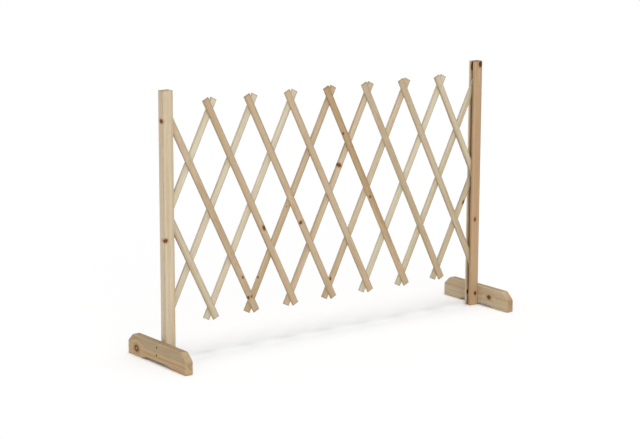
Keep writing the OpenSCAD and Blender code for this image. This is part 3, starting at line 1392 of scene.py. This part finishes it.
@dataclass
class Lattice:
    """The two layers of slats and the rivets that join them."""

    plan: LatticePlan
    zinc: ZincFinish
    edge_tint: Color = (0.66, 0.67, 0.68)

    def boards(self, layer: Layer) -> list[tuple[SlatTone, float]]:
        """Lists the boards of a layer from the left.

        Args:
            layer: The layer.

        Returns:
            The tone and the taper of each slat.
        """
        chalk, ivory, cream, ash, straw, wheat, honey, tan = SlatTone
        if layer is Layer.FRONT:
            tones = [ash, straw, honey, honey, honey, tan, wheat, wheat, ash]
            tapers = [0, 0.03, 0, 0.01, 0, -0.03, 0.02, 0.03, 0]
        else:
            tones = [chalk, ivory, ivory, honey, straw, straw, cream, cream, ash]
            tapers = [0, 0, 0.03, 0.02, 0, 0.02, 0, 0, 0]
        return list(zip(tones, tapers))

    def knots(self, layer: Layer, number: int) -> tuple[Knot, ...]:
        """Returns the knots that show on a slat.

        Args:
            layer: Layer of the slat.
            number: Number of the slat, from 1 at the left.

        Returns:
            The knots.
        """
        spots = {
            (Layer.FRONT, 2): ((4, -281, 3.2, 1.3), (-8.5, -358, 4.1, 1.3), (4.5, -362, 3.0, 1.3)),
            (Layer.FRONT, 3): ((5.5, -101.5, 4.8, 1.8),),
            (Layer.FRONT, 4): ((-4, -97, 5.8, 0.9),),
            (Layer.FRONT, 6): ((-7, 235, 3.2, 1.3), (-3.5, -34, 3.6, 1.3)),
            (Layer.BACK, 4): ((-9, -295, 2.8, 1.3), (-4, -31, 1.7, 1.6)),
            (Layer.BACK, 5): ((-4, 105, 11, 0.55),),
            (Layer.BACK, 6): ((-6, -350, 4.2, 1.5),),
            (Layer.BACK, 9): ((8, -113, 4.5, 1.6),),
        }
        return tuple(
            Knot((x, 0, z), BoardAxis.THROUGH, radius, stretch, tone=KnotTone.RED)
            for x, z, radius, stretch in spots.get((layer, number), ())
        )

    def make(self) -> None:
        """Makes the slats of both layers and the rivets of the front one."""
        for layer in Layer:
            for number, (tone, taper) in enumerate(self.boards(layer), start=1):
                pine = PineFinish(f"{layer.word}_slat_pine", *tone.value, edge_tint=self.edge_tint)
                Slat(self.plan, layer, number, pine, self.knots(layer, number), taper).make()
        for number in range(1, self.plan.bays + 2):
            SlatRivets(self.plan, number, self.zinc).make()


@dataclass(frozen=True)
class Lamp:
    """A wide, even light from far away, with its angles in degrees.

    Attributes:
        name: Name of the light.
        bearing: Where it comes from, turned to the right from straight in front of the panel.
        height: Angle above the horizon that it comes from.
        spread: Angle that the light's disc spans, which makes its shadows soft.
        power: Power of the light.
    """

    name: str
    bearing: float
    height: float
    spread: float
    power: float

    def hang(self) -> None:
        """Hangs the lamp."""
        lamp = bpy.data.lights.new(self.name, "SUN")
        lamp.energy = self.power
        lamp.angle = math.radians(self.spread)
        bearing, height = math.radians(self.bearing), math.radians(self.height)
        level = math.cos(height)
        source = Vector((math.sin(bearing) * level, -math.cos(bearing) * level, math.sin(height)))
        light = bpy.data.objects.new(self.name, lamp)
        light.rotation_euler = source.to_track_quat("Z", "Y").to_euler()
        bpy.context.scene.collection.objects.link(light)


@dataclass
class Studio:
    """Pale floor, soft light and the camera."""

    floor_size: float = 120.0
    floor_drop: float = 0.2 * MM
    sky: Fade = Fade(0.05, 0.36, first=1.0, last=0.44)
    lamps: tuple[Lamp, ...] = (
        Lamp("overhead_light", bearing=0.0, height=86, spread=28, power=2.15),
        Lamp("front_light", bearing=-20, height=12, spread=40, power=0.92),
    )
    bearing: float = math.radians(36.97)
    pitch: float = math.radians(11.68)
    roll: float = math.radians(0.21)
    distance: float = 6.930
    aim_right: float = -0.0314
    aim_height: float = 0.4067
    focal_px: float = 1967.9
    image_width_px: int = 640
    sensor: float = 36.0
    view_reach: float = 500

    def make(self) -> None:
        """Lays the floor, hangs the lights and sets the camera."""
        self.lay_floor()
        self.light_world()
        for lamp in self.lamps:
            lamp.hang()
        self.set_camera()
        bpy.context.scene.view_settings.view_transform = "Standard"

    def lay_floor(self) -> None:
        """Lays a wide white floor just under the feet."""
        bm = bmesh.new()
        bmesh.ops.create_grid(bm, x_segments=1, y_segments=1, size=self.floor_size / 2)
        bmesh.ops.translate(bm, vec=(0, 0, -self.floor_drop), verts=bm.verts)
        mesh = bpy.data.meshes.new("floor")
        bm.to_mesh(mesh)
        bm.free()
        mesh.materials.append(FloorFinish().material)
        floor = bpy.data.objects.new("floor", mesh)
        bpy.context.scene.collection.objects.link(floor)

    def light_world(self) -> None:
        """Fills the room with soft white light, brightest along the horizon."""
        world = bpy.data.worlds.new("studio")
        sheet = NodeSheet(world)
        bearing = sheet.add("ShaderNodeTexCoord").outputs["Generated"]
        height = sheet.add("ShaderNodeSeparateXYZ", {0: bearing}).outputs["Z"]
        light = {"Color": (1, 1, 1, 1), "Strength": sheet.fade(height, self.sky)}
        walls = sheet.add("ShaderNodeBackground", light)
        sheet.add("ShaderNodeOutputWorld", {"Surface": walls.outputs[0]})
        bpy.context.scene.world = world

    def set_camera(self) -> None:
        """Sets the camera at the picture's viewing angle."""
        level = math.cos(self.pitch)
        ahead, aside = math.cos(self.bearing), math.sin(self.bearing)
        forward = Vector((aside * level, ahead * level, -math.sin(self.pitch)))
        right = Vector((ahead, -aside, 0))
        up = right.cross(forward)
        tilt = Matrix.Rotation(-self.roll, 3, forward)
        right, up = tilt @ right, tilt @ up
        data = bpy.data.cameras.new("camera")
        data.sensor_width = self.sensor
        data.lens = self.focal_px * self.sensor / self.image_width_px
        data.clip_end = self.view_reach
        camera = bpy.data.objects.new("camera", data)
        place = Vector((0, 0, self.aim_height)) + right * self.aim_right - forward * self.distance
        axes = Matrix((right, up, -forward)).transposed().to_4x4()
        camera.matrix_world = Matrix.Translation(place) @ axes
        bpy.context.scene.collection.objects.link(camera)
        bpy.context.scene.camera = camera


def make_stands(plan: LatticePlan) -> None:
    """Makes the pale left stand and the warmer right one.

    Args:
        plan: Plan of the lattice between them.
    """
    # Very dark screw plate: partly the screws' own dark metal, partly painted shade of recesses round the
    # heads.
    zinc = ZincFinish("screw_zinc", bright=(0.075, 0.058, 0.042), dull=(0.03, 0.024, 0.018))
    pale_post = PineFinish(
        "post_pine", sapwood=(0.66, 0.56, 0.41), heartwood=(0.62, 0.52, 0.37), ring_width=2.2 * MM,
        ring_depth=0.45,
    )
    warm_post = replace(
        pale_post, sapwood=(0.72, 0.62, 0.45), heartwood=(0.49, 0.335, 0.195), wander=2.5 * MM,
        heart_fade=2 * MM, end_tint=(0.50, 0.45, 0.40),
    )
    # The feet's edge tint is above 1: a painted highlight on their rounded edges.
    foot_pine = PineFinish(
        "foot_pine", sapwood=(0.52, 0.385, 0.22), heartwood=(0.425, 0.326, 0.194), ring_width=7 * MM,
        ring_depth=0.9, late_share=0.35, ring_floor=0.1, wander=4 * MM, late_tint=(0.78, 0.50, 0.29),
        end_tint=(0.95, 0.935, 0.94), edge_tint=(1.10, 1.10, 1.10),
    )
    # Paler copy of the foot pine for the right foot: painted light that makes up for the shade its inner face
    # gets from the post beside it.
    brightened_foot_pine = replace(
        foot_pine, sapwood=(0.54, 0.44, 0.295), heartwood=(0.51, 0.40, 0.255), ring_depth=0.5,
        end_tint=(0.75, 0.66, 0.58),
    )
    across, through = BoardAxis.ACROSS, BoardAxis.THROUGH
    left_knots = (
        Knot((-20, -4, 359.5), across, radius=8.5, stretch=0.8, depth=6, tone=KnotTone.RED),
        Knot((-14.5, -14, -40), through, radius=7, stretch=0.95, depth=12, tone=KnotTone.RED),
    )
    right_knots = (
        Knot((10.5, -14, 448), through, radius=7.5, stretch=1.35, depth=40),
        # Long dark knot on the back wall inside the groove near the top: partly a knot, partly painted shade
        # of the groove's deep top.
        Knot((-10, 10, 440), through, radius=5.5, stretch=3.2, depth=9),
        Knot((7, -14, -416), through, radius=5, depth=15),
        Knot((-12, 10, -411), through, radius=4.5, stretch=2, depth=9),
        Knot((-1.5, -14, -132), through, radius=4.5, stretch=1.5, tone=KnotTone.RED),
    )
    left_foot_knots = (Knot((-14, 9.5, 126), across, radius=11, stretch=1.2, tone=KnotTone.TIGHT),)
    right_foot_knots = (Knot((-14, -2, -77), across, radius=7.5, tone=KnotTone.RED),)
    Stand(Side.LEFT, plan, zinc, pale_post, foot_pine, left_knots, left_foot_knots).make()
    Stand(Side.RIGHT, plan, zinc, warm_post, brightened_foot_pine, right_knots, right_foot_knots).make()


def main() -> None:
    """Makes the studio, the stands and the lattice."""
    logging.basicConfig(level=logging.INFO, format="%(name)s: %(message)s")
    Studio().make()
    plan = LatticePlan()
    make_stands(plan)
    Lattice(plan, ZincFinish("rivet_zinc", bright=(0.62, 0.50, 0.33), dull=(0.40, 0.31, 0.20))).make()


if __name__ == "__main__":
    main()
